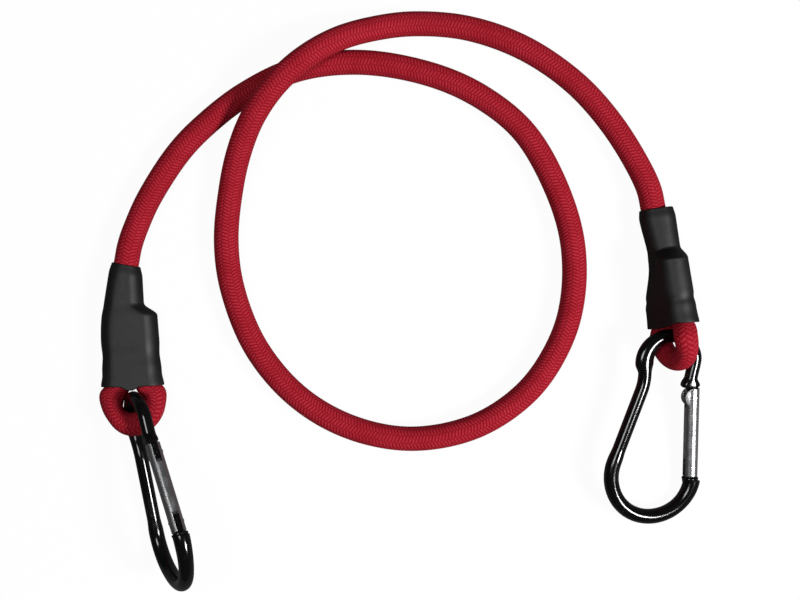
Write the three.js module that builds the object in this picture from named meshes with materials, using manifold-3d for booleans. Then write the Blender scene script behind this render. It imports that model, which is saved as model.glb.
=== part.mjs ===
// Bungee cord with a snap carabiner at each end, lying in one open loop.
// Millimetres, +X to the right, +Y away from the viewer's feet, +Z up, the floor at z = 0.
import * as THREE from "three";
import { mergeVertices } from "three/addons/utils/BufferGeometryUtils.js";
import Module from "manifold-3d";

const wasm = await Module();
wasm.setup();

const degree = Math.PI / 180;

// Clearance between pieces that touch on the real object
const fit = 0.3;
// How far a cutting tool runs past the faces that it cuts
const overrun = 2;
// Corners nearer than this are one corner
const mergeTolerance = 1e-5;

// Elastic cord: rubber core in a braided sheath
const cord = {
  diameter: 10.4,
  sheathWall: 1.3,
  sides: 10,
  coreSides: 8,
  steps: 40,
};

// Cord drawn thinner inside the sleeve and round the eye
const eyeCord = {
  diameter: 9,
  eyeRadius: 9.35,
  strandSpread: 5.7,
  strandSpreadTop: 5,
  tailClear: 1.1,
  sides: 10,
  coreSides: 8,
  steps: 30,
};

// Heat-shrunk rubber sleeve over both strands
const sleeve = {
  wall: 0.9,
  flareLength: 4.6,
  sides: 24,
};

// Steel bands that clamp the two strands together under the sleeve
const band = {
  thickness: 0.5,
  width: 4,
  grip: 0.5,
  fit: 0.35,
  seam: 1.2,
};

// Pear-shaped carabiner bent from round rod; radii run to the rod's centreline
const carabiner = {
  rodDiameter: 5.5,
  smallEndRadius: 11,
  bigEndRadius: 17.9,
  centreDistance: 47.2,
  spineLeanAngle: 21,
  neckRadius: 22,
  shoulderSwell: 1.1,
  shoulderShare: 1,
  shoulderFallShare: 0.25,
  noseSwell: 0.7,
  noseSwellLength: 14,
  tangThickness: 2,
  collarWidth: 7.6,
  collarHeight: 4.2,
  collarEdge: 0.9,
  noseFlange: 6.9,
  noseFlangeHeight: 2.4,
  sides: 12,
  steps: 52,
};

// Sprung gate, a turned bar with a slot at each end
const gate = {
  diameter: 6.1,
  inset: 1.1,
  length: 37.4,
  pivotDrop: 15,
  earRadius: 3.9,
  earThickness: 5,
  collarGap: 0.35,
  noseGap: 0.4,
  slotFit: 0.3,
  pivotSlotDepth: 4.4,
  boreDiameter: 3.8,
  boreFloor: 2.9,
  latchSlotDepth: 8,
  sides: 20,
};

// Rivets that the gate turns and latches on
const pin = {
  pivotDiameter: 2.2,
  latchDiameter: 1.9,
  hold: 0.12,
  play: 0.25,
  proud: 0.12,
  chamfer: 0.3,
  latchFromEnd: 4.2,
  sides: 16,
};

// Tangs at the rod's two ends
const tang = {
  pivotHalfWidth: 2.4,
  pivotReach: 2.5,
  noseHalfWidth: 2.5,
  hookLip: 1.9,
  hookRound: 0.9,
};

// Plunger and spring that shut the gate
const plunger = {
  headDiameter: 3.2,
  headLength: 3.4,
  stemDiameter: 1.7,
  stemLength: 5,
  sides: 14,
};
const spring = {
  wire: 0.5,
  turns: 8,
  stepsPerTurn: 8,
  wireSides: 5,
};

// How each piece lies in the photograph: turn about +Z, pitch of its long axis, roll about that axis.
// Lengths along a sleeve run up from its lower end; the cord leaves it at mouthX, mouthZ off its axis.
// The main strand sways aside about one height, and the mouth may be wider than the cord on the tail's side.
// The eye's tail side may be twisted on by some degrees more.
const leftFitting = {
  eyeCentre: [-110.7, -1.6],
  turn: 3.1,
  pitch: 0,
  roll: 0,
  eyeTwistAngle: 0,
  eyeDrop: 6.7,
  sleeveLength: 50.5,
  flareStart: 29.6,
  leadStart: 18,
  leadEnd: 50.5,
  mouthEase: 1.5,
  mouthX: 0,
  mouthZ: 0,
  mouthWideX: 0,
  mouthWideZ: 0,
  swayX: -0.4,
  swayZ: 0,
  swayHeight: 30,
  swayReach: 18,
  footSlopeShare: 0,
  footReach: 8,
  bandHeights: [5.5, 20],
};
const rightFitting = {
  eyeCentre: [113.2, 25.4],
  turn: 8.3,
  pitch: -0.9,
  roll: 61,
  eyeTwistAngle: 9,
  eyeDrop: 6,
  sleeveLength: 47.8,
  flareStart: 26.6,
  leadStart: 6,
  leadEnd: 25.5,
  mouthEase: 0,
  mouthX: -4.3,
  mouthZ: -2,
  mouthWideX: 1.2,
  mouthWideZ: -2.1,
  swayX: 0.8,
  swayZ: -1.4,
  swayHeight: 27,
  swayReach: 20,
  footSlopeShare: 0.1,
  footReach: 8,
  bandHeights: [5.5, 13.5],
};
const leftCarabiner = { ringCentre: [-107, -10.6], turn: 19.8, pitch: -14.2, roll: 63 };
const rightCarabiner = { ringCentre: [111.3, 15.2], turn: 0.1, pitch: 7.5, roll: -12 };
// Middle of the two end fittings, which is set over the origin
const middle = [0.2, 1.5];
// Slack between the lifted bend of the left eye and the spine that it lies over
const eyeSlack = 1.4;

// Route of the free cord between the two sleeve mouths, points chosen by hand
const cordRoute = [
  [-113.72, 55.95, 6.74],
  [-112.3, 63.5, 6.7],
  [-109.5, 72.0, 5.9],
  [-104.2, 83.8, 5.3],
  [-91.9, 102.6, 5.3],
  [-80.2, 114.6, 5.3],
  [-64.4, 126.6, 5.3],
  [-42.9, 136.8, 5.3],
  [-16.0, 139.8, 5.3],
  [13.3, 134.6, 5.3],
  [34.2, 125.2, 5.3],
  [51.7, 110.8, 5.3],
  [64.6, 88.7, 5.3],
  [71.7, 65.8, 5.3],
  [72.1, 42.9, 5.3],
  [67.1, 24.1, 5.3],
  [53.8, 3.5, 5.3],
  [32.1, -11.5, 5.3],
  [5.0, -17.0, 5.3],
  [-20.8, -12.1, 5.3],
  [-42.9, 0.8, 5.3],
  [-60.0, 21.0, 5.3],
  [-69.8, 45.4, 5.3],
  [-72.4, 65.4, 5.3],
  [-70.3, 87.0, 6.4],
  [-66.4, 102.5, 10.0],
  [-60.4, 116.0, 14.2],
  [-51.2, 128.9, 16.1],
  [-39.8, 139.4, 16.1],
  [-25.9, 148.0, 13.2],
  [-10.4, 153.3, 8.8],
  [6.2, 155.8, 5.7],
  [28.3, 154.0, 5.3],
  [51.7, 145.7, 5.3],
  [72.9, 131.2, 5.3],
  [87.9, 114.6, 5.3],
  [99.1, 96.6, 5.9],
  [103.6, 86.4, 6.6],
  [105.13, 79.02, 6.9],
];

// Materials
const paint = (name, color, roughness, metalness) =>
  new THREE.MeshStandardMaterial({ name, color, roughness, metalness });
const braidRed = () => paint("braid_red", 0x9c1830, 0.8, 0);
const rubberTan = () => paint("rubber_core", 0xb9a27c, 0.85, 0);
const sleeveBlack = () => paint("sleeve_rubber", 0x1b1b1c, 0.6, 0);
const anodisedBlack = () => paint("anodised_black", 0x0b0b0c, 0.25, 0.6);
const satinSilver = () => paint("gate_silver", 0xb4b6b8, 0.35, 0.9);
const springSteel = () => paint("spring_steel", 0x8d8f92, 0.4, 0.9);

// Joins a closed list of triangles into geometry whose faces point out
function closedGeometry(points, triangles) {
  let volume = 0;
  const side = new THREE.Vector3();
  for (const [a, b, c] of triangles) {
    volume += side.crossVectors(points[b], points[c]).dot(points[a]);
  }
  const faces = volume < 0 ? triangles.map(([a, b, c]) => [a, c, b]) : triangles;
  const geometry = new THREE.BufferGeometry();
  geometry.setAttribute("position", new THREE.Float32BufferAttribute(points.flatMap((p) => p.toArray()), 3));
  geometry.setIndex(faces.flat());
  return geometry;
}

// Skins a row of rings that have as many points each; a looped row closes on its first ring
function loft(rings, looped = false) {
  const count = rings[0].length;
  const points = rings.flat();
  const triangles = [];
  const last = looped ? rings.length : rings.length - 1;
  for (let row = 0; row < last; row++) {
    const here = row * count;
    const next = ((row + 1) % rings.length) * count;
    for (let i = 0; i < count; i++) {
      const j = (i + 1) % count;
      triangles.push([here + i, here + j, next + j], [here + i, next + j, next + i]);
    }
  }
  if (!looped) {
    const top = (rings.length - 1) * count;
    for (let i = 1; i < count - 1; i++) {
      triangles.push([0, i + 1, i], [top, top + i, top + i + 1]);
    }
  }
  return closedGeometry(points, triangles);
}

// Rings round a curve; shapeAt(share) gives the half width and half height
function ringsAlong(curve, steps, sides, shapeAt) {
  const frames = curve.computeFrenetFrames(steps, false);
  const rings = [];
  for (let row = 0; row <= steps; row++) {
    const centre = curve.getPointAt(row / steps);
    const { across, up } = shapeAt(row / steps);
    const ring = [];
    for (let i = 0; i < sides; i++) {
      const angle = (2 * Math.PI * i) / sides;
      const point = centre.clone();
      point.addScaledVector(frames.normals[row], across * Math.cos(angle));
      point.addScaledVector(frames.binormals[row], up * Math.sin(angle));
      ring.push(point);
    }
    rings.push(ring);
  }
  return rings;
}

// Tube whose wall is cut from an outer and an inner radius along one curve
function hollowTube(curve, steps, sides, outerAt, wall) {
  const outer = ringsAlong(curve, steps, sides, (share) => ({ across: outerAt(share), up: outerAt(share) }));
  const inner = ringsAlong(curve, steps, sides, (share) => {
    const radius = outerAt(share) - wall;
    return { across: radius, up: radius };
  });
  return loft([...outer, ...inner.reverse()], true);
}

// Solid bar of round section along a curve
function bar(curve, steps, sides, radiusAt) {
  return loft(ringsAlong(curve, steps, sides, (share) => ({ across: radiusAt(share), up: radiusAt(share) })));
}

// Turns closed geometry into a solid that can be joined and cut
function solid(geometry) {
  const bare = geometry.index ? geometry.toNonIndexed() : geometry.clone();
  for (const name of Object.keys(bare.attributes)) {
    if (name !== "position") bare.deleteAttribute(name);
  }
  const merged = mergeVertices(bare, mergeTolerance);
  return new wasm.Manifold(
    new wasm.Mesh({
      numProp: 3,
      vertProperties: new Float32Array(merged.attributes.position.array),
      triVerts: new Uint32Array(merged.index.array),
    })
  );
}

// Turns a solid back into geometry
function geometryOf(body) {
  const mesh = body.getMesh();
  const geometry = new THREE.BufferGeometry();
  geometry.setAttribute("position", new THREE.BufferAttribute(mesh.vertProperties, 3));
  geometry.setIndex(new THREE.BufferAttribute(mesh.triVerts, 1));
  return geometry;
}

function named(name, geometry, material) {
  geometry.computeVertexNormals();
  const mesh = new THREE.Mesh(geometry, material);
  mesh.name = name;
  return mesh;
}

// Plate of a flat outline, centred on the plane of the carabiner
function plate(outline, thickness) {
  const geometry = new THREE.ExtrudeGeometry(outline, {
    depth: thickness,
    bevelEnabled: false,
    curveSegments: 10,
  });
  return geometry.translate(0, 0, -thickness / 2);
}

// Round bar standing along Y between two heights
function post(radius, low, high, sides, x = 0) {
  return new THREE.CylinderGeometry(radius, radius, high - low, sides).translate(x, (low + high) / 2, 0);
}

// Rivet through the plane of the carabiner with a small chamfer at each end
function rivet(diameter, length, x, y) {
  const radius = diameter / 2;
  const half = length / 2;
  const profile = [
    [0, -half],
    [radius - pin.chamfer, -half],
    [radius, -half + pin.chamfer],
    [radius, half - pin.chamfer],
    [radius - pin.chamfer, half],
    [0, half],
  ].map(([r, h]) => new THREE.Vector2(r, h));
  return new THREE.LatheGeometry(profile, pin.sides).rotateX(90 * degree).translate(x, y, 0);
}

const smooth = (share) => THREE.MathUtils.smoothstep(share, 0, 1);

// Places a group by its turn about +Z, the pitch of its Y axis and its roll about that axis
function pose(group, { turn, pitch, roll }) {
  group.rotation.set(pitch * degree, -roll * degree, turn * degree, "ZXY");
  return group;
}

// Sizes that follow from the driving ones
const strandRadius = eyeCord.diameter / 2;
const bandReach = strandRadius + band.grip + band.thickness + band.fit;
const wideHalf = bandReach + sleeve.wall;
const mouthHalf = cord.diameter / 2 + fit + sleeve.wall;
const rodRadius = carabiner.rodDiameter / 2;
const gateRadius = gate.diameter / 2;
const gateX = carabiner.smallEndRadius - gate.inset;
const pivotY = -gate.pivotDrop;
const gateTop = pivotY + gate.earRadius;
const gateEnd = gateTop - gate.length;
const latchY = gateEnd + pin.latchFromEnd;
const collarFace = gateTop + gate.collarGap;
const noseFace = gateEnd - gate.noseGap;
const boreEnd = gateEnd + gate.latchSlotDepth + gate.boreFloor;
const slotWidth = carabiner.tangThickness + 2 * gate.slotFit;

// Carabiner outline: small end, straight neck, reverse bend, leaning spine, big end, nose
const spine = (() => {
  const { smallEndRadius: small, bigEndRadius: big, centreDistance, neckRadius } = carabiner;
  const lean = carabiner.spineLeanAngle * degree;
  const bigX = small - big;
  const length = (big * Math.cos(lean) - bigX - small - neckRadius * (1 - Math.cos(lean))) / Math.sin(lean);
  const neckDrop = centreDistance - (big + neckRadius) * Math.sin(lean) - length * Math.cos(lean);
  const noseAngle = Math.asin((noseFace - carabiner.noseFlangeHeight / 2 + centreDistance) / big);
  return { small, big, lean, bigX, neckDrop, neckRadius, centreDistance, noseAngle };
})();

// The outline as one flat path, from the pivot collar round to the nose
function carabinerPath() {
  const { small, big, lean, bigX, neckDrop, neckRadius, centreDistance, noseAngle } = spine;
  const path = new THREE.Path();
  path.moveTo(small, collarFace + carabiner.collarHeight / 2);
  path.lineTo(small, 0);
  path.absarc(0, 0, small, 0, Math.PI, false);
  path.lineTo(-small, -neckDrop);
  path.absarc(-small - neckRadius, -neckDrop, neckRadius, 0, -lean, true);
  path.absarc(bigX, -centreDistance, big, Math.PI - lean, 2 * Math.PI + noseAngle, false);
  return path;
}

// A flat path stood in space, so that a section can follow it
class FlatCurve extends THREE.Curve {
  constructor(path) {
    super();
    this.path = path;
  }
  getPoint(share, target = new THREE.Vector3()) {
    const point = this.path.getPointAt(share);
    return target.set(point.x, point.y, 0);
  }
}

function carabinerBody(name) {
  const path = carabinerPath();
  const length = path.getLength();
  const shoulderAt = (Math.PI * spine.small * carabiner.shoulderShare - collarFace) / length;
  const shoulderLength = (spine.small * Math.PI) / 2 / length;
  const noseLength = carabiner.noseSwellLength / length;
  const rod = loft(
    ringsAlong(new FlatCurve(path), carabiner.steps, carabiner.sides, (share) => {
      const reach = share < shoulderAt ? shoulderLength : shoulderLength * carabiner.shoulderFallShare;
      const off = (share - shoulderAt) / reach;
      const swell = carabiner.shoulderSwell * smooth(Math.max(0, 1 - Math.abs(off)));
      const nose = carabiner.noseSwell * smooth(1 - (1 - share) / noseLength);
      return { across: rodRadius + nose, up: rodRadius + swell + nose };
    })
  );
  // Shoulder above the gate, wider than the rod and rounded on the inside
  const left = gateX + gateRadius - carabiner.collarWidth;
  const right = gateX + gateRadius;
  const { collarEdge: edge, collarHeight } = carabiner;
  const collarOutline = new THREE.Shape();
  collarOutline.moveTo(left + 2 * edge, collarFace + edge);
  collarOutline.lineTo(right - edge, collarFace + edge);
  collarOutline.lineTo(gateX + rodRadius - edge, collarFace + collarHeight);
  collarOutline.lineTo(gateX - rodRadius + edge, collarFace + collarHeight);
  collarOutline.quadraticCurveTo(
    left + edge,
    collarFace + collarHeight / 2,
    left + 2 * edge,
    collarFace + edge
  );
  const collar = new THREE.ExtrudeGeometry(collarOutline, {
    depth: carabiner.rodDiameter - 2 * edge,
    bevelEnabled: true,
    bevelThickness: edge,
    bevelSize: edge,
    bevelSegments: 2,
    curveSegments: 6,
  }).translate(0, 0, edge - rodRadius);
  // Tang that the gate's slot straddles, square at its end so that the plunger holds the gate shut
  const pivotTang = new THREE.Shape();
  pivotTang.moveTo(gateX - tang.pivotHalfWidth, collarFace + collarHeight / 2);
  pivotTang.lineTo(gateX - tang.pivotHalfWidth, pivotY - tang.pivotReach);
  pivotTang.lineTo(gateX + tang.pivotHalfWidth, pivotY - tang.pivotReach);
  pivotTang.lineTo(gateX + tang.pivotHalfWidth, collarFace + collarHeight / 2);
  // Flange that ends the nose, and the hook that catches the latch pin from above
  const flange = new THREE.LatheGeometry(
    [
      [0, -carabiner.noseFlangeHeight],
      [rodRadius, -carabiner.noseFlangeHeight],
      [carabiner.noseFlange / 2, -carabiner.noseFlangeHeight / 3],
      [carabiner.noseFlange / 2, -tang.hookRound / 3],
      [carabiner.noseFlange / 2 - tang.hookRound / 3, 0],
      [0, 0],
    ].map(([r, h]) => new THREE.Vector2(r, h)),
    gate.sides
  ).translate(gateX, noseFace, 0);
  const notch = pin.latchDiameter / 2 + fit;
  const hookTop = latchY + notch + tang.hookLip;
  const inside = gateX - tang.noseHalfWidth;
  const outside = gateX + tang.noseHalfWidth;
  const hook = new THREE.Shape();
  hook.moveTo(inside, noseFace - carabiner.noseFlangeHeight / 2);
  hook.lineTo(inside, latchY - notch);
  hook.lineTo(gateX, latchY - notch);
  hook.absarc(gateX, latchY, notch, -Math.PI / 2, Math.PI / 2, false);
  hook.lineTo(inside, latchY + notch);
  hook.lineTo(inside, hookTop - tang.hookRound);
  hook.absarc(inside + tang.hookRound, hookTop - tang.hookRound, tang.hookRound, Math.PI, Math.PI / 2, true);
  hook.absarc(outside - tang.hookRound, hookTop - tang.hookRound, tang.hookRound, Math.PI / 2, 0, true);
  hook.lineTo(outside, noseFace - carabiner.noseFlangeHeight / 2);
  const pivotHole = post(pin.pivotDiameter / 2 + pin.play, -overrun, overrun, pin.sides);
  const body = solid(rod)
    .add(solid(collar))
    .add(solid(plate(pivotTang, carabiner.tangThickness)))
    .add(solid(flange))
    .add(solid(plate(hook, carabiner.tangThickness)))
    .subtract(solid(pivotHole.rotateX(90 * degree).translate(gateX, pivotY, 0)));
  return named(name, geometryOf(body), anodisedBlack());
}

function gateBar(name) {
  const wide = gate.diameter + overrun;
  const tube = solid(post(gateRadius, gateEnd, gateTop, gate.sides, gateX));
  // The heel is round about the pivot on its inner side, so that it passes the collar
  const heel = new THREE.Shape();
  heel.moveTo(gateX, gateTop + overrun);
  heel.lineTo(gateX, gateTop);
  heel.absarc(gateX, pivotY, gate.earRadius, Math.PI / 2, Math.PI, false);
  heel.lineTo(gateX - gate.earRadius - overrun, pivotY);
  heel.lineTo(gateX - gate.earRadius - overrun, gateTop + overrun);
  const ear = new THREE.Shape();
  ear.moveTo(gateX, gateTop);
  ear.absarc(gateX, pivotY, gate.earRadius, Math.PI / 2, (3 * Math.PI) / 2, false);
  const slotBox = (low, high) => {
    const box = new THREE.BoxGeometry(wide + 2 * gate.earRadius, high - low, slotWidth);
    return solid(box.translate(gateX, (low + high) / 2, 0));
  };
  const bore = post(gate.boreDiameter / 2, boreEnd, gateTop + overrun, gate.sides, gateX);
  const hole = (diameter, y) => {
    const drill = post(diameter / 2 + pin.hold, -wide / 2, wide / 2, pin.sides);
    return solid(drill.rotateX(90 * degree).translate(gateX, y, 0));
  };
  const body = tube
    .subtract(solid(plate(heel, wide)))
    .add(solid(plate(ear, gate.earThickness)))
    .subtract(slotBox(pivotY - gate.pivotSlotDepth, gateTop + overrun))
    .subtract(slotBox(gateEnd - overrun, gateEnd + gate.latchSlotDepth))
    .subtract(solid(bore))
    .subtract(hole(pin.pivotDiameter, pivotY))
    .subtract(hole(pin.latchDiameter, latchY));
  return named(name, geometryOf(body), satinSilver());
}

const plungerFace = pivotY - tang.pivotReach - fit;
const springTop = plungerFace - plunger.headLength - fit / 2;
const springEnd = boreEnd + fit / 2;

function plungerPin(name) {
  const profile = [
    [0, -plunger.headLength - plunger.stemLength],
    [plunger.stemDiameter / 2, -plunger.headLength - plunger.stemLength],
    [plunger.stemDiameter / 2, -plunger.headLength],
    [plunger.headDiameter / 2, -plunger.headLength],
    [plunger.headDiameter / 2, -fit],
    [plunger.headDiameter / 2 - fit, 0],
    [0, 0],
  ].map(([r, h]) => new THREE.Vector2(r, h));
  const geometry = new THREE.LatheGeometry(profile, plunger.sides).translate(gateX, plungerFace, 0);
  return named(name, geometry, springSteel());
}

const springRun = springTop - springEnd - spring.wire;
const springGap = springRun / spring.turns - spring.wire;
console.log(`gate spring: least gap between turns ${springGap.toFixed(2)} mm`);

// Helix of the gate spring, worked out by its turns
class SpringCurve extends THREE.Curve {
  getPoint(share, target = new THREE.Vector3()) {
    const radius = gate.boreDiameter / 2 - fit / 2 - spring.wire / 2;
    const angle = share * spring.turns * 2 * Math.PI;
    return target.set(
      gateX + radius * Math.cos(angle),
      springTop - spring.wire / 2 - share * springRun,
      radius * Math.sin(angle)
    );
  }
}

function gateSpring(name) {
  const steps = spring.turns * spring.stepsPerTurn;
  const wire = bar(new SpringCurve(), steps, spring.wireSides, () => spring.wire / 2);
  return named(name, wire, springSteel());
}

// Lowers a group until its lowest point lies on the floor
function seat(group) {
  group.updateMatrixWorld(true);
  group.position.z -= new THREE.Box3().setFromObject(group, true).min.z;
  return group;
}

function makeCarabiner(side, place) {
  const group = pose(new THREE.Group(), place);
  group.position.set(...place.ringCentre, 0);
  const pinLength = gate.diameter + 2 * pin.proud;
  group.add(
    carabinerBody(`${side}_carabiner_body`),
    gateBar(`${side}_gate`),
    named(`${side}_pivot_pin`, rivet(pin.pivotDiameter, pinLength, gateX, pivotY), satinSilver()),
    named(`${side}_latch_pin`, rivet(pin.latchDiameter, pinLength, gateX, latchY), satinSilver()),
    plungerPin(`${side}_spring_plunger`),
    gateSpring(`${side}_gate_spring`)
  );
  return seat(group);
}

// Places of the tail and of the main strand across a sleeve, at a height above its lower end
const tailAt = (height, { flareStart }) => {
  const share = Math.min(1, height / (flareStart - eyeCord.tailClear));
  return new THREE.Vector3(THREE.MathUtils.lerp(eyeCord.strandSpread, eyeCord.strandSpreadTop, share), 0, 0);
};
const mouthAt = ({ mouthX, mouthZ }) => new THREE.Vector3(mouthX, 0, mouthZ);
const mainAt = (height, place) => {
  const { leadStart, leadEnd, mouthEase } = place;
  const share = THREE.MathUtils.clamp((height - leadStart) / (leadEnd - leadStart), 0, 1);
  const lead = smooth(share) - mouthEase * share * share * (1 - share);
  const sway = smooth(1 - Math.abs(height - place.swayHeight) / place.swayReach);
  const aside = new THREE.Vector3(place.swayX * sway, 0, place.swayZ * sway);
  return tailAt(height, place).negate().lerp(mouthAt(place), lead).add(aside);
};
// How far the main strand runs sideways for each unit of height at the mouth
const mouthSlope = ({ leadStart, leadEnd, mouthEase }) =>
  (eyeCord.strandSpreadTop * mouthEase) / (leadEnd - leadStart);

// The strand from the sleeve's mouth down, round the eye and back up to the cut tail
function eyeCurve(place, lift) {
  const { eyeDrop, sleeveLength, flareStart } = place;
  const radius = eyeCord.eyeRadius;
  const straight = 7;
  const bow = 3;
  const arc = 10;
  const back = 4;
  const rise = (y) => lift * smooth((eyeDrop - y) / (eyeDrop + radius));
  const points = [];
  for (let i = 0; i <= straight; i++) {
    const height = sleeveLength * (1 - i / straight);
    points.push(mainAt(height, place).setY(eyeDrop + height));
  }
  const widen = (i) => {
    const share = Math.sin((i / bow) * (Math.PI / 2));
    return THREE.MathUtils.lerp(eyeCord.strandSpread, radius, share);
  };
  for (let i = 1; i < bow; i++) {
    const y = eyeDrop * (1 - i / bow);
    points.push(new THREE.Vector3(-widen(i), y, rise(y)));
  }
  for (let i = 0; i <= arc; i++) {
    const angle = Math.PI + (Math.PI * i) / arc;
    const y = radius * Math.sin(angle);
    points.push(new THREE.Vector3(radius * Math.cos(angle), y, rise(y)));
  }
  for (let i = bow - 1; i >= 1; i--) {
    const y = eyeDrop * (1 - i / bow);
    points.push(new THREE.Vector3(widen(i), y, rise(y)));
  }
  for (let i = 0; i <= back; i++) {
    const height = ((flareStart - eyeCord.tailClear) * i) / back;
    points.push(tailAt(height, place).setY(eyeDrop + height));
  }
  // The tail's side of the eye turns about the fitting's own axis, the more the further it stands out
  for (const point of points) {
    const out = Math.max(0, point.x / radius) * smooth((eyeDrop - point.y) / eyeDrop);
    const twist = place.eyeTwistAngle * degree * out;
    point.applyAxisAngle(new THREE.Vector3(0, -1, 0), twist);
  }
  return new THREE.CatmullRomCurve3(points, false, "centripetal");
}

// One ring of a sleeve: a stadium round two places, cut square to the cord where it slopes
function sleeveRing(y, from, to, half, along, slope) {
  const middle = from.clone().lerp(to, 0.5);
  const apart = to.clone().sub(from);
  const ring = [];
  for (let i = 0; i < sleeve.sides; i++) {
    const angle = (2 * Math.PI * (i + 0.5)) / sleeve.sides;
    const x = along.x * Math.cos(angle) - along.z * Math.sin(angle);
    const z = along.z * Math.cos(angle) + along.x * Math.sin(angle);
    const point = (x * apart.x + z * apart.z > 0 ? to : from).clone();
    point.x += half * x;
    point.z += half * z;
    ring.push(point.setY(y - slope * (point.x - middle.x)));
  }
  return ring;
}

// Cuts a sleeve's lower end aslant, seen from above
function footCut(ring, height, { roll, footSlopeShare, footReach }) {
  const slant = footSlopeShare * (1 - smooth(height / footReach));
  for (const point of ring) {
    point.y -= slant * (point.x * Math.cos(roll * degree) - point.z * Math.sin(roll * degree));
  }
  return ring;
}

function sleeveTube(name, place) {
  const { eyeDrop, sleeveLength, flareStart } = place;
  const flareEnd = flareStart + sleeve.flareLength;
  const wideShares = [0, 0.2, 0.35, 0.5, 0.65, 0.8, 1];
  const flareShares = [0.3, 0.6, 1];
  const mouthShares = [0.25, 0.5, 0.75, 1];
  const stations = [
    ...wideShares.map((share) => share * flareStart),
    ...flareShares.map((share) => flareStart + share * sleeve.flareLength),
    ...mouthShares.map((share) => flareEnd + share * (sleeveLength - flareEnd)),
  ];
  const rings = (wall) =>
    stations.map((height) => {
      const flare = smooth((height - flareStart) / sleeve.flareLength);
      const half = THREE.MathUtils.lerp(wideHalf, mouthHalf, flare) - wall;
      const from = mainAt(height, place);
      const tail = tailAt(height, place);
      const along = tail.clone().sub(from).normalize();
      const slope = mouthSlope(place) * smooth((height - flareEnd) / (sleeveLength - flareEnd));
      const wide = new THREE.Vector3(place.mouthWideX, 0, place.mouthWideZ).add(mouthAt(place));
      const ring = sleeveRing(eyeDrop + height, from, tail.lerp(wide, flare), half, along, slope);
      return footCut(ring, height, place);
    });
  return named(name, loft([...rings(0), ...rings(sleeve.wall).reverse()], true), sleeveBlack());
}

// Flat steel band bent round both strands, its two ends meeting at a seam
function clampBand(name, height, place) {
  const from = mainAt(height, place);
  const to = tailAt(height, place);
  const reach = from.distanceTo(to) / 2;
  const outline = (half) => {
    const shape = new THREE.Shape();
    shape.absarc(-reach, 0, half, Math.PI / 2, (3 * Math.PI) / 2, false);
    shape.absarc(reach, 0, half, -Math.PI / 2, Math.PI / 2, false);
    return shape;
  };
  const shape = outline(strandRadius + band.grip + band.thickness);
  shape.holes.push(outline(strandRadius + band.grip));
  const ring = plate(shape, band.width).rotateX(90 * degree);
  const seam = new THREE.BoxGeometry(band.seam, band.width + overrun, bandReach);
  seam.translate(0, 0, bandReach / 2 + strandRadius / 2);
  const turned = geometryOf(solid(ring).subtract(solid(seam)));
  turned.rotateY(Math.atan2(from.z - to.z, to.x - from.x));
  // The side round the main strand leans as that strand does
  const corners = turned.getAttribute("position");
  const corner = new THREE.Vector3();
  const apart = to.clone().sub(from);
  for (let i = 0; i < corners.count; i++) {
    corner.fromBufferAttribute(corners, i);
    const share = THREE.MathUtils.clamp(0.5 - corner.dot(apart) / apart.lengthSq(), 0, 1);
    const lean = mainAt(height + corner.y, place).sub(from).multiplyScalar(share);
    corner.add(lean);
    corners.setXYZ(i, corner.x, corner.y, corner.z);
  }
  turned.translate((from.x + to.x) / 2, place.eyeDrop + height, (from.z + to.z) / 2);
  return named(name, turned, springSteel());
}

function makeFitting(side, place, lift) {
  const group = pose(new THREE.Group(), place);
  const curve = eyeCurve(place, lift);
  const length = curve.getLength();
  const taperLength = place.sleeveLength - place.flareStart;
  const outerAt = (share) =>
    THREE.MathUtils.lerp(cord.diameter / 2, strandRadius, smooth((share * length) / taperLength));
  const coreAt = (share) => outerAt(share) - cord.sheathWall - fit;
  group.add(
    named(
      `${side}_eye_sheath`,
      hollowTube(curve, eyeCord.steps, eyeCord.sides, outerAt, cord.sheathWall),
      braidRed()
    ),
    named(`${side}_eye_core`, bar(curve, eyeCord.steps, eyeCord.coreSides, coreAt), rubberTan()),
    clampBand(`${side}_lower_clamp_band`, place.bandHeights[0], place),
    clampBand(`${side}_upper_clamp_band`, place.bandHeights[1], place),
    sleeveTube(`${side}_sleeve`, place)
  );
  group.position.set(...place.eyeCentre, 0);
  return seat(group);
}

// Free stretch of cord between the two sleeve mouths
function makeCord() {
  const route = new THREE.CatmullRomCurve3(
    cordRoute.map((point) => new THREE.Vector3(...point)),
    false,
    "centripetal"
  );
  const circle = (radius, sides) => {
    const shape = new THREE.Shape();
    for (let i = 0; i < sides; i++) {
      const angle = (2 * Math.PI * i) / sides;
      const point = [radius * Math.cos(angle), radius * Math.sin(angle)];
      if (i) shape.lineTo(...point);
      else shape.moveTo(...point);
    }
    return shape.closePath();
  };
  const along = { steps: cord.steps, extrudePath: route, bevelEnabled: false };
  const sheath = circle(cord.diameter / 2, cord.sides);
  sheath.holes.push(circle(cord.diameter / 2 - cord.sheathWall, cord.sides));
  const core = circle(cord.diameter / 2 - cord.sheathWall - fit, cord.coreSides);
  const group = new THREE.Group();
  group.add(
    named("cord_sheath", new THREE.ExtrudeGeometry(sheath, along), braidRed()),
    named("cord_core", new THREE.ExtrudeGeometry(core, along), rubberTan())
  );
  return group;
}

// The left eye lies over the carabiner's spine, so its lower bend is lifted by the rod
const leftStrandHeight = carabiner.rodDiameter + fit + strandRadius + eyeSlack;
const leftLift = leftStrandHeight - wideHalf;

const bungee = new THREE.Group();
bungee.name = "bungee_cord";
bungee.position.set(-middle[0], -middle[1], 0);
bungee.add(
  makeCord(),
  makeFitting("left", leftFitting, leftLift),
  makeFitting("right", rightFitting, 0),
  makeCarabiner("left", leftCarabiner),
  makeCarabiner("right", rightCarabiner)
);

export default bungee;
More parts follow.
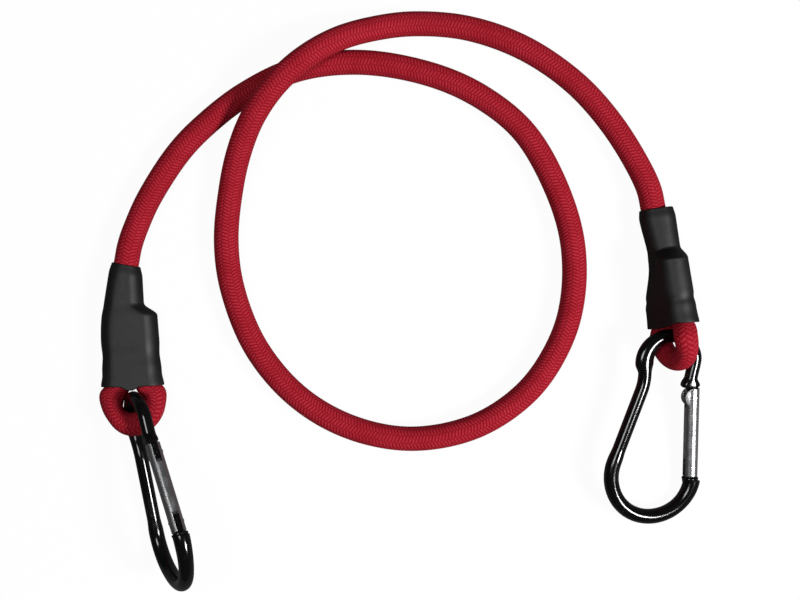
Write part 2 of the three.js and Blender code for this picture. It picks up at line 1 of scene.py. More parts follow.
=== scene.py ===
# Elastic tie-down cord with a snap carabiner in a sleeved eye at each end, lying in one open loop.
# Shapes are worked out in millimetres in the frame of the fitting or carabiner and stored in metres.
import bpy
import numpy as np
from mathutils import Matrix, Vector


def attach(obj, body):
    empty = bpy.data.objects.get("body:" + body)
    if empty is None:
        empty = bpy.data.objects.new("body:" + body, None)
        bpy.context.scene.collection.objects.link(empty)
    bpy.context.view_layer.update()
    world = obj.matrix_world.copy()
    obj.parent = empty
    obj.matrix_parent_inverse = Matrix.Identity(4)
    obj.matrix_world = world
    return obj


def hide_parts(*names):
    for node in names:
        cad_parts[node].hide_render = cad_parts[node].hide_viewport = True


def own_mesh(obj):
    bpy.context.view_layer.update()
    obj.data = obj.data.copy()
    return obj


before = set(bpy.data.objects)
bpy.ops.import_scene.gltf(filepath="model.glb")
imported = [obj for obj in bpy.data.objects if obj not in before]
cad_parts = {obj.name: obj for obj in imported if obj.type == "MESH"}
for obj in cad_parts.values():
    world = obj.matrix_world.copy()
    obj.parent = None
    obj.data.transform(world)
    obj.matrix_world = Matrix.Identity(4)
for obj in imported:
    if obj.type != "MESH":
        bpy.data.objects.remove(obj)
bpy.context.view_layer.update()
print("frame loaded:", len(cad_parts), "nodes")

millimetre = 0.001
turnedCrease, softCrease = 38, 60  # degrees past which an edge stays sharp, on metal and on soft pieces

# The camera looks straight down, as the photograph does
view = {"over": (-0.0002, 0.0393), "height": 0.600, "lens": 64.23, "sensorWidth": 36.0}


def addCamera():
    lens = bpy.data.cameras.new("topCamera")
    lens.sensor_fit, lens.sensor_width, lens.lens = "HORIZONTAL", view["sensorWidth"], view["lens"]
    camera = bpy.data.objects.new("topCamera", lens)
    camera.location = (*view["over"], view["height"])
    bpy.context.scene.collection.objects.link(camera)
    bpy.context.scene.camera = camera


addCamera()
bpy.context.scene.view_settings.view_transform = "Standard"
print("camera set")


# S-curve from 0 to 1: three squares less two cubes
def ease(share):
    share = np.clip(share, 0, 1)
    return share * share * (3 - 2 * share)


# Points at even distances along a line, found by its running length
def evenly(line, count):
    run = np.concatenate([[0], np.cumsum(np.linalg.norm(np.diff(line, axis=0), axis=1))])
    even = np.linspace(0, run[-1], count)
    return np.stack([np.interp(even, run, line[:, axis]) for axis in range(line.shape[1])], axis=1), run[-1]


# Smooth line through points: between two points a cubic leaves and arrives with slopes that weigh
# each neighbouring gap by the square root of its length
def throughPoints(points, fine=24):
    points = np.asarray(points, float)
    ends = np.vstack([2 * points[0] - points[1], points, 2 * points[-1] - points[-2]])
    gap = np.sqrt(np.linalg.norm(np.diff(ends, axis=0), axis=1))[:, None]
    before, here, after, beyond = ends[:-3], ends[1:-2], ends[2:-1], ends[3:]
    first, own, last = gap[:-2], gap[1:-1], gap[2:]
    leave = ((here - before) / first - (after - before) / (first + own)) * own + (after - here)
    arrive = (after - here) - ((beyond - here) / (own + last) - (beyond - after) / last) * own
    t = np.linspace(0, 1, fine, endpoint=False)[None, :, None]
    curve = (here[:, None] * (2 * t**3 - 3 * t**2 + 1) + after[:, None] * (3 * t**2 - 2 * t**3)
             + leave[:, None] * (t**3 - 2 * t**2 + t) + arrive[:, None] * (t**3 - t**2))
    return np.vstack([curve.reshape(-1, 3), points[-1:]])


# Rings round a line: centre plus a circle spanned by the sideways and upward directions square to it.
# A squareness over 2 makes the circle a rounded square, its cosine and sine raised to 2 over that power,
# and steady is the number of rows over which the line's direction is averaged
def ringsRound(line, sideReach, upReach, sides, squareness=2.0, steady=1):
    along = np.pad(np.gradient(line, axis=0), ((steady // 2, steady // 2), (0, 0)), mode="edge")
    along = np.stack([np.convolve(along[:, axis], np.ones(steady), "valid") for axis in range(3)], axis=1)
    side = np.cross(along, (0.0, 0.0, 1.0))
    side /= np.linalg.norm(side, axis=1, keepdims=True)
    up = np.cross(side, along)
    up /= np.linalg.norm(up, axis=1, keepdims=True)
    angle = 2 * np.pi * np.arange(sides)[None, :] / sides
    rows = np.ones((len(line), 1))
    power = 2 / (np.asarray(squareness, float).reshape(-1, 1) * rows)
    cosine = np.sign(np.cos(angle)) * np.abs(np.cos(angle)) ** power
    sine = np.sign(np.sin(angle)) * np.abs(np.sin(angle)) ** power
    wide = np.asarray(sideReach, float).reshape(-1, 1) * rows * cosine
    high = np.asarray(upReach, float).reshape(-1, 1) * rows * sine
    return line[:, None] + side[:, None] * wide[..., None] + up[:, None] * high[..., None]


# Turned shape: a profile of radius and height swept round the Y axis that stands at centreX
def turned(profile, sides, centreX):
    profile = np.asarray(profile, float)
    angle = 2 * np.pi * np.arange(sides)[None, :] / sides
    radius, height = profile[:, :1], profile[:, 1:]
    return np.stack([centreX + radius * np.cos(angle), height + 0 * angle, radius * np.sin(angle)], axis=-1)


# Flat plate with eased edges: its outline repeated between two heights, drawn in by the edge at each face
# and by a small share of the edge next to it
def slab(outline, low, high, edge, near=0.3):
    outline = np.asarray(outline, float)
    ahead = np.roll(outline, -1, axis=0) - outline
    back = outline - np.roll(outline, 1, axis=0)
    slope = ahead / np.linalg.norm(ahead, axis=1, keepdims=True)
    slope = slope + back / np.linalg.norm(back, axis=1, keepdims=True)
    slope /= np.linalg.norm(slope, axis=1, keepdims=True)
    area = np.sum(outline[:, 0] * np.roll(outline[:, 1], -1) - outline[:, 1] * np.roll(outline[:, 0], -1))
    inward = np.stack([-slope[:, 1], slope[:, 0]], axis=1) * np.sign(area)
    steps = [(edge, low), (near * edge, low + near * edge), (0, low + edge),
             (0, high - edge), (near * edge, high - near * edge), (edge, high)]
    return np.stack([np.column_stack([outline + inward * inset, np.full(len(outline), height)])
                     for inset, height in steps])


# Round arc of points about a centre between two angles in degrees
def arc(centre, radius, start, end, count):
    angle = np.radians(np.linspace(start, end, count))
    return np.stack([centre[0] + radius * np.cos(angle), centre[1] + radius * np.sin(angle)], axis=1)


# Points rolled about Y, pitched about X, turned about Z and moved to where the piece lies
def laid(points, place):
    turn, pitch, roll = np.radians([place["turn"], place["pitch"], -place["roll"]])
    aboutZ = np.array([[np.cos(turn), -np.sin(turn), 0], [np.sin(turn), np.cos(turn), 0], [0, 0, 1]])
    aboutX = np.array([[1, 0, 0], [0, np.cos(pitch), -np.sin(pitch)], [0, np.sin(pitch), np.cos(pitch)]])
    aboutY = np.array([[np.cos(roll), 0, np.sin(roll)], [0, 1, 0], [-np.sin(roll), 0, np.cos(roll)]])
    return points @ (aboutZ @ aboutX @ aboutY).T + np.array(place["centre"])


# Faces over a grid of points: each quad joins two columns of two rows. A looped grid closes on its
# first row and any other gets two flat caps; all turn round when the volume inside comes out negative
def facesOver(grid, looped):
    rows, columns = grid.shape[:2]
    row = np.arange(rows if looped else rows - 1)[:, None]
    column = np.arange(columns)[None, :]
    beside = (column + 1) % columns
    here, there = row * columns, (row + 1) % rows * columns
    quads = np.stack([here + column, here + beside, there + beside, there + column], axis=-1).reshape(-1, 4)
    run = np.concatenate([[0], np.cumsum(np.linalg.norm(np.diff(grid.mean(axis=1), axis=0), axis=1))])
    ahead = np.append(run[1:], run[-1])[row] * millimetre
    behind = run[row] * millimetre
    flat = np.zeros_like(column, float)
    corners = ((behind, column), (behind, column + 1), (ahead, column + 1), (ahead, column))
    marks = np.stack([np.stack(np.broadcast_arrays(u + flat, v / columns), axis=-1) for u, v in corners],
                     axis=2).reshape(-1, 4, 2)
    points = grid.reshape(-1, 3) - grid.reshape(-1, 3).mean(axis=0)
    a, b, c, d = (points[quads[:, corner]] for corner in range(4))
    volume = np.sum(a * (np.cross(b, c) + np.cross(c, d)))
    caps = []
    if not looped:
        start, end = np.arange(columns)[::-1], (rows - 1) * columns + np.arange(columns)
        caps = [start, end]
        for cap in caps:
            fan = points[cap]
            volume += np.sum(fan[0] * np.cross(fan[1:-1], fan[2:]).sum(axis=0))
    if volume < 0:
        quads, marks, caps = quads[:, ::-1], marks[:, ::-1], [cap[::-1] for cap in caps]
    return quads, marks, caps


# One mesh piece from closed grids of points in millimetres, with the distance along and the share
# round of each corner kept as its weave map
def makePiece(name, grids, material, body, replaced, crease):
    corners, faces, weave, start = [], [], [], 0
    for grid, looped in grids:
        quads, marks, caps = facesOver(grid, looped)
        corners.append(grid.reshape(-1, 3) * millimetre)
        faces += (quads + start).tolist() + [(cap + start).tolist() for cap in caps]
        weave += [marks.reshape(-1, 2)] + [np.zeros((len(cap), 2)) for cap in caps]
        start += grid.shape[0] * grid.shape[1]
    mesh = bpy.data.meshes.new(name)
    mesh.from_pydata(np.vstack(corners).tolist(), [], faces)
    mesh.uv_layers.new(name="weave").data.foreach_set("uv", np.vstack(weave).ravel())
    mesh.materials.append(material)
    mesh.shade_smooth()
    mesh.set_sharp_from_angle(angle=np.radians(crease))
    piece = bpy.data.objects.new(name, mesh)
    bpy.context.scene.collection.objects.link(piece)
    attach(piece, body)
    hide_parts(*replaced)
    return piece


# A shader socket that can stand in a sum: each sign that the materials use adds one Math node
class Shade:
    def __init__(self, paint, socket):
        self.paint, self.socket = paint, socket

    def sign(self, operation, first, second=0.0):
        return self.paint.node("ShaderNodeMath", {"operation": operation}, {0: first, 1: second})

    def __add__(self, other):
        return self.sign("ADD", self, other)

    def __sub__(self, other):
        return self.sign("SUBTRACT", self, other)

    def __rsub__(self, other):
        return self.sign("SUBTRACT", other, self)

    def __mul__(self, other):
        return self.sign("MULTIPLY", self, other)

    def __mod__(self, other):
        return self.sign("FLOORED_MODULO", self, other)

    def __pow__(self, other):
        return self.sign("POWER", self, other)

    def __abs__(self):
        return self.sign("ABSOLUTE", self)

    __radd__ = __add__

    def output(self, name):
        return Shade(self.paint, self.socket.node.outputs[name])


# Colour as it shows on a screen, 0 to 255, turned into the light values that shaders use: a straight foot
# for the darkest values and a power of 2.4 above it
def tint(red, green, blue):
    value = np.array([red, green, blue]) / 255
    light = np.where(value <= 0.04045, value / 12.92, ((value + 0.055) / 1.055) ** 2.4)
    return (*light.tolist(), 1.0)


# A node tree with one method for every node, and short names for the mixes that all materials share. A Mix
# node has sockets of the same names for each kind of data, so those for colours go by their number
class Paint:
    def __init__(self, owner):
        owner.use_nodes = True
        self.owner, self.tree = owner, owner.node_tree

    def node(self, kind, settings=None, sockets=None, output=0):
        made = self.tree.nodes.new(kind)
        for name, value in (settings or {}).items():
            setattr(made, name, value)
        for name, value in (sockets or {}).items():
            self.feed(made.inputs[name], value)
        return Shade(self, made.outputs[output])

    def feed(self, socket, value):
        if isinstance(value, Shade):
            self.tree.links.new(value.socket, socket)
        else:
            socket.default_value = value

    def mix(self, factor, first, second):
        return self.node("ShaderNodeMix", {"data_type": "RGBA"}, {0: factor, 6: first, 7: second}, 2)

    def between(self, value, limits):
        return self.node("ShaderNodeMapRange", {"interpolation_type": "SMOOTHSTEP"},
                         {"Value": value, "From Min": limits[0], "From Max": limits[1]})

    def grain(self, spots, scale=1.0, detail=3.0, roughness=0.55):
        return self.node("ShaderNodeTexNoise", {},
                         {"Vector": spots, "Scale": scale, "Detail": detail, "Roughness": roughness})

    def stretched(self, spots, factors):
        return self.node("ShaderNodeVectorMath", {"operation": "MULTIPLY"}, {0: spots, 1: factors})

    def objectSpots(self):
        return self.node("ShaderNodeTexCoord").output("Object")

    def weaveSpots(self):
        return self.node("ShaderNodeUVMap", {"uv_map": "weave"})

    def finish(self, look, height, **sockets):
        shader = self.tree.nodes["Principled BSDF"]
        for name, value in sockets.items():
            self.feed(shader.inputs[name.replace("_", " ")], value)
        bump = {"Strength": look["bump"], "Distance": look["relief"], "Height": height}
        self.feed(shader.inputs["Normal"], self.node("ShaderNodeBump", {}, bump))
        return self.owner


# Braided sheath: columns of flat stitches that lean one way and then the other, like a herringbone
braid = {
    "columns": 10,
    "stitch": 1.38,
    "lean": 0.7,
    "waver": 0.22,
    "ridgePower": 2.2,
    "edgePower": 5.0,
    "fibreScale": (5200.0, 46.0, 1.0),
    "fibreHeight": 0.25,
    "relief": 0.00014,
    "bump": 0.9,
    "thread": tint(156, 16, 32),
    # Painted sheen: the pale colour that the stitch tops are painted, a highlight put into the colour
    "threadPaintedSheen": tint(190, 62, 80),
    "paintedSheenBase": 0.35,
    "paintedSheenAt": (0.6, 1.1),
    # The gap colour is painted shade in the grooves between stitches and at the column edges, and also the
    # darker tone of the worn patches
    "gap": tint(132, 8, 21),
    "paintedGrooveShadeAt": (0.0, 0.4),
    "wanderScale": 90.0,
    "wornAt": (0.35, 0.75),
    "worn": 0.35,
    "roughness": 0.72,
    "wanderRough": 0.15,
    "shine": 0.1,
}


# The stitch number grows with the distance along over the stitch length, and leans with the place
# across its column; the height is a rounded ridge on each stitch, sunk at the column's two edges
def braidPaint(name):
    paint = Paint(bpy.data.materials.new(name))
    spot = paint.node("ShaderNodeSeparateXYZ", {}, {0: paint.weaveSpots()})
    across = spot.output("Y") * braid["columns"]
    inside = across % 1.0
    column = (across - inside) % 2.0
    fibre = paint.grain(paint.stretched(paint.weaveSpots(), braid["fibreScale"]), detail=2.0)
    lean = (column * 2.0 - 1.0) * (inside - 0.5) * braid["lean"]
    waver = (fibre - 0.5) * braid["waver"]
    stitch = (spot.output("X") * (1 / millimetre / braid["stitch"]) + lean + column * 0.5 + waver) % 1.0
    ridge = 1.0 - abs(stitch * 2.0 - 1.0) ** braid["ridgePower"]
    edge = 1.0 - abs(inside * 2.0 - 1.0) ** braid["edgePower"]
    height = ridge * edge
    wander = paint.grain(paint.objectSpots(), braid["wanderScale"])
    # The tops of the stitches are painted paler, a painted sheen where light would catch them
    paintedSheen = paint.between(ridge * (braid["paintedSheenBase"] + fibre), braid["paintedSheenAt"])
    thread = paint.mix(paintedSheen, braid["thread"], braid["threadPaintedSheen"])
    # The low parts of the weave are painted darker: painted shade in the grooves
    colour = paint.mix(paint.between(height, braid["paintedGrooveShadeAt"]), braid["gap"], thread)
    worn = paint.mix(paint.between(wander, braid["wornAt"]) * braid["worn"], colour, braid["gap"])
    return paint.finish(braid, height + fibre * braid["fibreHeight"], Base_Color=worn,
                        Roughness=braid["roughness"] + wander * braid["wanderRough"],
                        Specular_IOR_Level=braid["shine"])


# Heat-shrunk rubber: matte black, rubbed a little paler in soft patches, with a pebbled skin
rubber = {
    "black": tint(8, 8, 9),
    "rubbed": tint(28, 28, 29),
    "slowScale": 75.0,
    "rubbedAt": (0.45, 0.75),
    "rubbedShare": 0.55,
    "dust": tint(66, 64, 62),
    "speckScale": 700.0,
    "dustAt": (0.66, 0.78),
    "dustShare": 0.4,
    "fineScale": 1500.0,
    "fineHeight": 0.5,
    "slowHeight": 4.0,
    "relief": 0.00012,
    "bump": 0.5,
    "roughness": 0.48,
    "slowRough": 0.14,
    "shine": 0.5,
}


# Rubbed and dusty shares rise where slow noise and specks are high; the skin's height sums fine and slow
# noise
def rubberPaint():
    paint = Paint(bpy.data.materials.new("sleeveRubber"))
    spots = paint.objectSpots()
    slow = paint.grain(spots, rubber["slowScale"])
    fine = paint.grain(spots, rubber["fineScale"], detail=2.0)
    specks = paint.grain(spots, rubber["speckScale"], detail=4.0, roughness=0.7)
    rubbed = paint.between(slow, rubber["rubbedAt"]) * rubber["rubbedShare"]
    dusty = paint.between(specks, rubber["dustAt"]) * rubber["dustShare"]
    colour = paint.mix(dusty, paint.mix(rubbed, rubber["black"], rubber["rubbed"]), rubber["dust"])
    return paint.finish(rubber, fine * rubber["fineHeight"] + slow * rubber["slowHeight"], Base_Color=colour,
                        Roughness=rubber["roughness"] + slow * rubber["slowRough"],
                        Specular_IOR_Level=rubber["shine"])


# Glossy black anodised rod with hairline scuffs that lighten it
anodised = {
    "black": tint(9, 9, 10),
    "scuff": tint(92, 92, 95),
    "patchScale": 120.0,
    "patchAt": (0.52, 0.72),
    "hairScale": (2600.0, 300.0, 900.0),
    "hairAt": (0.62, 0.74),
    "scuffShare": 0.5,
    "gritScale": 1900.0,
    "relief": 0.00005,
    "bump": 0.25,
    "roughness": 0.13,
    "patchRough": 0.08,
    "scuffRough": 0.4,
    "shine": 0.5,
    "coat": 0.1,
}


# Scuffs show where long thin noise and slow noise are both high
def anodisedPaint():
    paint = Paint(bpy.data.materials.new("anodisedBlack"))
    spots = paint.objectSpots()
    patch = paint.between(paint.grain(spots, anodised["patchScale"], detail=2.0), anodised["patchAt"])
    drawn = paint.grain(paint.stretched(spots, anodised["hairScale"]), detail=2.0)
    hair = paint.between(drawn, anodised["hairAt"])
    grit = paint.grain(spots, anodised["gritScale"], detail=2.0)
    scuff = hair * patch * anodised["scuffShare"]
    rough = anodised["roughness"] + patch * anodised["patchRough"] + scuff * anodised["scuffRough"]
    return paint.finish(anodised, grit, Base_Color=paint.mix(scuff, anodised["black"], anodised["scuff"]),
                        Roughness=rough, Specular_IOR_Level=anodised["shine"], Coat_Weight=anodised["coat"])


# Satin aluminium gate: fine lines along the drawn bar, dull grey where it is handled
satin = {
    "bright": tint(200, 201, 203),
    "dull": tint(92, 92, 96),
    "drawnScale": (160.0, 70.0, 1.0),
    "drawnDull": 0.35,
    "handledScale": 260.0,
    "handledAt": (0.42, 0.72),
    "handledDull": 0.5,
    "pitScale": 1300.0,
    "pitAt": (0.62, 0.74),
    "pitDull": 0.5,
    "pitHeight": -0.8,
    "dullShare": 0.8,
    "relief": 0.00004,
    "bump": 0.5,
    "metal": 0.95,
    "roughness": 0.27,
    "handledRough": 0.16,
}


# Lines along the bar come from noise that is fine round it and slow along it, and pits from high specks
def satinPaint():
    paint = Paint(bpy.data.materials.new("satinAluminium"))
    lines = paint.stretched(paint.weaveSpots(), satin["drawnScale"])
    drawn = paint.grain(lines, detail=4.0, roughness=0.6)
    spots = paint.objectSpots()
    handled = paint.between(paint.grain(spots, satin["handledScale"]), satin["handledAt"])
    pitted = paint.between(paint.grain(spots, satin["pitScale"]), satin["pitAt"])
    dull = handled * satin["handledDull"] + drawn * satin["drawnDull"] + pitted * satin["pitDull"]
    return paint.finish(satin, drawn + pitted * satin["pitHeight"], Metallic=satin["metal"],
                        Base_Color=paint.mix(dull * satin["dullShare"], satin["bright"], satin["dull"]),
                        Roughness=satin["roughness"] + handled * satin["handledRough"])


# Bare drawn steel of the bands, plungers and springs, and the turned aluminium of the pins
steel = {
    "clean": tint(176, 177, 180),
    "tarnish": tint(98, 94, 92),
    "cloudScale": 420.0,
    "cloudAt": (0.45, 0.75),
    "cloudShare": 0.6,
    "streakScale": (500.0, 4200.0, 900.0),
    "streakShare": 0.2,
    "relief": 0.00003,
    "bump": 0.4,
    "roughness": 0.3,
    "cloudRough": 0.25,
}


# Tarnish gathers where slow noise is high, over fine streaks that run across the piece
def steelPaint(name, clean, tarnish):
    paint = Paint(bpy.data.materials.new(name))
    spots = paint.objectSpots()
    cloud = paint.between(paint.grain(spots, steel["cloudScale"]), steel["cloudAt"])
    streak = paint.grain(paint.stretched(spots, steel["streakScale"]), detail=2.0)
    dull = cloud * steel["cloudShare"] + streak * steel["streakShare"]
    return paint.finish(steel, streak, Metallic=1.0, Base_Color=paint.mix(dull, clean, tarnish),
                        Roughness=steel["roughness"] + cloud * steel["cloudRough"])


freeBraid, eyeBraid = braidPaint("cordBraid"), braidPaint("eyeBraid")
sleeveRubber, blackAnodised, satinAluminium = rubberPaint(), anodisedPaint(), satinPaint()
bareSteel = steelPaint("bareSteel", steel["clean"], steel["tarnish"])
rivetMetal = steelPaint("rivetMetal", satin["bright"], satin["dull"])
print("materials mixed")

# Free cord between the two sleeves: its route in metres, from the left mouth to the right one
cord = {"diameter": 10.4, "length": 0.781, "sides": 48, "rings": 420, "intoSleeve": 2.5,
        "unevenness": 0.12, "exit": (-0.113993, 0.054016, 0.006692),
        "waves": ((17.0, 0.0, 1.0), (7.3, 1.0, 1.0), (41.0, 2.0, 0.6)),  # length, start and share of each
        "waveSpan": 5}  # about twice the sum of the shares
cordRoute = np.array([
    [-0.11392, 0.05445, 0.00674], [-0.1125, 0.062, 0.0067], [-0.1097, 0.0705, 0.0059],
    [-0.1044, 0.0823, 0.0053], [-0.0921, 0.1011, 0.0053], [-0.0804, 0.1131, 0.0053],
    [-0.0646, 0.1251, 0.0053], [-0.0431, 0.1353, 0.0053], [-0.0162, 0.1383, 0.0053],
    [0.0131, 0.1331, 0.0053], [0.034, 0.1237, 0.0053], [0.0515, 0.1093, 0.0053],
    [0.0644, 0.0872, 0.0053], [0.0715, 0.0643, 0.0053], [0.0719, 0.0414, 0.0053],
    [0.0669, 0.0226, 0.0053], [0.0536, 0.002, 0.0053], [0.0319, -0.013, 0.0053],
    [0.0048, -0.0185, 0.0053], [-0.021, -0.0136, 0.0053], [-0.0431, -0.0007, 0.0053],
    [-0.0602, 0.0195, 0.0053], [-0.07, 0.0439, 0.0053], [-0.0726, 0.0639, 0.0053],
    [-0.0705, 0.0855, 0.0064], [-0.0666, 0.101, 0.01], [-0.0606, 0.1145, 0.0142],
    [-0.0514, 0.1274, 0.0161], [-0.04, 0.1379, 0.0161], [-0.0261, 0.1465, 0.0132],
    [-0.0106, 0.1518, 0.0088], [0.006, 0.1543, 0.0057], [0.0281, 0.1525, 0.0053],
    [0.0515, 0.1442, 0.0053], [0.0727, 0.1297, 0.0053], [0.0877, 0.1131, 0.0053],
    [0.0989, 0.0951, 0.0059], [0.1034, 0.0849, 0.0066], [0.10493, 0.07752, 0.0069],
])


# Tube along the route, run on a little into each sleeve; its radius swells and thins by a sum of slow
# sine waves, as a hand-laid elastic cord does
def makeCord():
    line = throughPoints(cordRoute / millimetre)
    start, end = line[0] - line[1], line[-1] - line[-2]
    reach = cord["intoSleeve"]
    line = np.vstack([line[0] + reach * start / np.linalg.norm(start), line,
                      line[-1] + reach * end / np.linalg.norm(end)])
    line, length = evenly(line, cord["rings"])
    run = np.linspace(0, length, cord["rings"])
    wave = sum(share * np.sin(run / long + begin) for long, begin, share in cord["waves"])
    radius = cord["diameter"] / 2 - cord["unevenness"] / 2 + cord["unevenness"] / cord["waveSpan"] * wave
    piece = makePiece("braidedCord", [(ringsRound(line, radius, radius, cord["sides"]), False)], freeBraid,
                      "cord", ["cord_sheath", "cord_core"], softCrease)


makeCord()
print("free cord laid")

# Sleeved eyes: the strand turns back on itself round the eye, and the sleeve shrinks over both strands
strand = {
    "radius": 4.5, "spread": 5.7, "spreadTop": 5.0, "tailClear": 1.1, "sides": 44, "rings": 190, "steady": 15,
    "downPoints": 8, "bendPoints": 11, "upPoints": 5,
    "buried": 3.2,  # length inside the free cord that is left off
    "pinchAngle": 35, "pinchReach": 55, "pinchSide": 1.15,  # where the outer side is drawn in, and how flat
    "fatReach": 4, "fallFrom": 3, "fallReach": 5,  # how the section fattens and thins again
    "upFrom": 3, "upReach": 6, "upFall": 7,  # how the tail's side fattens upwards
}
sleeve = {
    "wall": 0.9, "wideHalf": 6.75, "mouthHalf": 6.4, "flatShare": 0.25, "sides": 80, "rings": 64,
    "flareLength": 4.6, "flareEarly": 0.8, "flareMargin": 2, "flareRings": 14,
    "lip": 0.45, "lipFlat": 0.98, "mouthTuck": 0.55, "tuckReach": 4, "waist": 0.35, "waistMargin": 1.5,
    "footRise": 5, "hangReach": 7, "dipHalf": 4.2, "dipEdge": 2.6,
}
fittings = {
    "left": {
        "centre": (-110.9, -3.1, 6.692), "turn": 3.1, "pitch": 0, "roll": 0, "sleeveLength": 50.5,
        "bands": (5.5, 20), "flareStart": 29.6, "leadStart": 18, "leadEnd": 50.5, "mouthEase": 1.5,
        "mouth": (0, 0, 0), "wideMouth": (0, 0, 0), "sway": (-0.4, 0, 0), "swayAt": 30, "swayReach": 18,
        "footSlope": 0.02, "footReach": 8, "footFlare": 0.65, "footHang": 0, "footDip": 1.6,
        "eyeDrop": 6.7, "eyeRadius": 8.85, "lift": 4.95, "twist": 0, "fullness": 0.5, "pinch": 0.7,
        "fatSide": 0.75, "fatFall": 0.55, "fatLead": 0.2, "fatUp": 0,
    },
    "right": {
        "centre": (113.0, 23.9, 12.578), "turn": 8.3, "pitch": -0.9, "roll": 61, "sleeveLength": 47.8,
        "bands": (5.5, 13.5), "flareStart": 26.6, "leadStart": 6, "leadEnd": 25.5, "mouthEase": 0,
        "mouth": (-4.3, 0, -2), "wideMouth": (1.2, 0, -2.1), "sway": (0.8, 0, -1.4), "swayAt": 27,
        "swayReach": 20, "footSlope": 0.1, "footReach": 8, "footFlare": 0.45, "footHang": 2.3, "footDip": 0,
        "eyeDrop": 6, "eyeRadius": 9.35, "lift": 0, "twist": 9, "fullness": -0.5, "pinch": 0,
        "fatSide": 0, "fatFall": 0, "fatLead": -0.5, "fatUp": 0.6,
    },
}


# Across a sleeve the tail moves inwards in even steps with the height, up to its cut end
def tailAt(height, place):
    share = np.minimum(1, height / (place["flareStart"] - strand["tailClear"]))
    x = strand["spread"] + (strand["spreadTop"] - strand["spread"]) * share
    return np.stack([x, 0 * x, 0 * x], axis=-1)


# The main strand starts as the tail's mirror image and eases across to the place of the mouth. It is held
# back by its share of the way squared times the share that is left, so it may still lean at the mouth. It
# sways to one side, by an S-curve above and below one height
def mainAt(height, place):
    share = np.clip((height - place["leadStart"]) / (place["leadEnd"] - place["leadStart"]), 0, 1)
    lead = (ease(share) - place["mouthEase"] * share**2 * (1 - share))[..., None]
    sway = ease(1 - np.abs(height - place["swayAt"]) / place["swayReach"])[..., None]
    across = -tailAt(height, place) * (1 - lead) + np.array(place["mouth"]) * lead
    return across + np.array(place["sway"]) * sway


# Around the eye the main side is drawn in by an S-curve about one angle below the level
def pinchAt(points, place):
    angle = np.degrees(np.arctan2(-points[:, 1], -points[:, 0]))
    return place["pinch"] * ease(1 - np.abs(angle - strand["pinchAngle"]) / strand["pinchReach"])


# Strand from the mouth down, round the eye as a half circle that widens from the sleeve, and back up to
# the cut tail. It lifts by an S-curve towards the bottom of the eye. The tail's side turns about the
# sleeve's axis by the twist, and rises, as far as it stands out, and the whole bend is pinched
def eyeLine(place):
    drop, radius = place["eyeDrop"], place["eyeRadius"]
    height = np.linspace(place["sleeveLength"], 0, strand["downPoints"])
    down = mainAt(height, place) + np.stack([0 * height, drop + height, 0 * height], axis=1)
    share = np.array([1, 2]) / 3
    side = strand["spread"] + (radius - strand["spread"]) * np.sin(share * np.pi / 2)
    side = side + place["fullness"] * np.sin(share * np.pi)
    angle = np.pi * (1 + np.linspace(0, 1, strand["bendPoints"]))
    bend = np.stack([radius * np.cos(angle), radius * np.sin(angle), 0 * angle], axis=1)
    outward = np.stack([-side, drop * (1 - share), 0 * side], axis=1)
    inward = outward[::-1] * np.array([-1, 1, 1])
    climb = np.linspace(0, place["flareStart"] - strand["tailClear"], strand["upPoints"])
    up = tailAt(climb, place) + np.stack([0 * climb, drop + climb, 0 * climb], axis=1)
    eye = np.vstack([outward, bend, inward])
    eye[:, 2] = place["lift"] * ease((drop - eye[:, 1]) / (drop + radius))
    out = np.clip(eye[:, 0] / radius, 0, 1) * ease((drop - eye[:, 1]) / drop)
    turn = np.radians(place["twist"]) * out
    x, z = eye[:, 0].copy(), eye[:, 2].copy()
    eye[:, 0], eye[:, 2] = x * np.cos(turn) - z * np.sin(turn), x * np.sin(turn) + z * np.cos(turn)
    eye[:, 2] += place["fatUp"] * out * ease((eye[:, 1] + strand["upFall"]) / strand["upFall"])
    eye[:, :2] *= (1 - pinchAt(eye, place) / radius)[:, None]
    return evenly(throughPoints(np.vstack([down, eye, up])), strand["rings"])


# The strand's radius eases from the cord's own at the mouth to the drawn one inside the sleeve. Below the
# sleeve the section grows sideways into an oval and thins again lower down, is flatter where the eye is
# pinched, and grows upwards on the tail's side, each by an S-curve
def makeEye(side, place):
    line, length = eyeLine(place)
    run = np.linspace(0, length, len(line))
    share = ease(run / (place["sleeveLength"] - place["flareStart"]))
    radius = cord["diameter"] / 2 + (strand["radius"] - cord["diameter"] / 2) * share
    fat = ease((place["eyeDrop"] + place["fatLead"] - line[:, 1]) / strand["fatReach"])
    kept = 1 - place["fatFall"] * ease((strand["fallFrom"] - line[:, 1]) / strand["fallReach"])
    wide = radius + place["fatSide"] * fat * kept - strand["pinchSide"] * pinchAt(line, place)
    beside = ease((line[:, 0] + strand["upFrom"]) / strand["upReach"])
    above = ease((line[:, 1] + strand["upFall"]) / strand["upFall"])
    high = radius + place["fatUp"] * fat * beside * above
    grid = ringsRound(line, wide, high, strand["sides"], steady=strand["steady"])[run > strand["buried"]]
    makePiece(f"{side}BraidedEye", [(laid(grid, place), False)], eyeBraid, "cord",
              [f"{side}_eye_sheath", f"{side}_eye_core"], softCrease)


